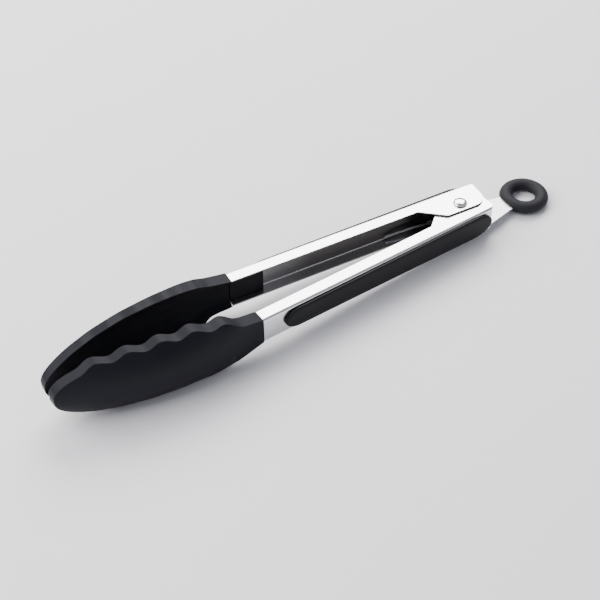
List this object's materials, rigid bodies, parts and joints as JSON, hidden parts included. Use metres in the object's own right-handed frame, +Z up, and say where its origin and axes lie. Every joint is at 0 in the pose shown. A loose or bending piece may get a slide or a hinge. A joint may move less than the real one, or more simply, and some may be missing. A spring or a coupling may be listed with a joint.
{
  "type": "kitchen tongs",
  "caption": "Spring loaded kitchen tongs with two nested steel channel arms, soft grips, scalloped scoop heads and a sliding lock tab with a hanging ring.",
  "frame": {"origin": "the middle of the object's outline at the level of the table that it lies on", "axes": "+X along the tongs from the heads to the hanging ring, +Y across the pair of arms to the outer arm, +Z up from the table, close to the pivot axis"},
  "size_m": [0.3489, 0.0534, 0.0428],
  "materials": {
    "steel": "polished stainless sheet with fine long scratches",
    "spring_steel": "drawn wire and screws",
    "silicone": "matte moulded silicone",
    "nylon": "black moulded nylon",
    "soft_grip": "fine grained soft-touch rubber",
    "ring_rubber": "matte moulded rubber",
    "bush": "natural nylon"
  },
  "bodies": {
    "outer_arm": {"outer_arm": "steel", "outer_grip": "soft_grip", "outer_head_core": "nylon", "outer_jaw": "silicone", "outer_head_screw": "spring_steel", "pivot_rivet": "steel"},
    "inner_arm": {"inner_arm": "steel", "inner_grip": "soft_grip", "inner_head_core": "nylon", "inner_jaw": "silicone", "inner_head_screw": "spring_steel"},
    "swivel": {"pivot_sleeve": "bush", "torsion_spring": "spring_steel"},
    "lock": {"lock_tab": "steel", "hang_ring": "ring_rubber"}
  },
  "joints": [
    {"name": "arm_hinge", "type": "hinge", "parent": "outer_arm", "child": "inner_arm", "pos_m": [0.10614, 0, 0.01325], "axis": [0.0367, 0, 0.9993], "range_deg": [-0.75, 19], "stiffness_Nm_per_rad": 0.8, "springref_deg": 34.38},
    {"name": "lock_swivel", "type": "hinge", "parent": "outer_arm", "child": "swivel", "pos_m": [0.10614, 0, 0.01325], "axis": [0.0367, 0, 0.9993], "range_deg": [-0.4, 9.6], "deforming": ["torsion_spring"]},
    {"name": "lock_slide", "type": "slide", "parent": "swivel", "child": "lock", "axis": [0.9993, 0, -0.0367], "range_m": [-0.0131, 0.0006]}
  ],
  "couplings": [
    {"joint": "lock_swivel", "follows": "arm_hinge", "ratio": 0.5},
    {"joint": "lock_slide", "follows": "arm_hinge", "m_per_rad": -0.039202}
  ]
}
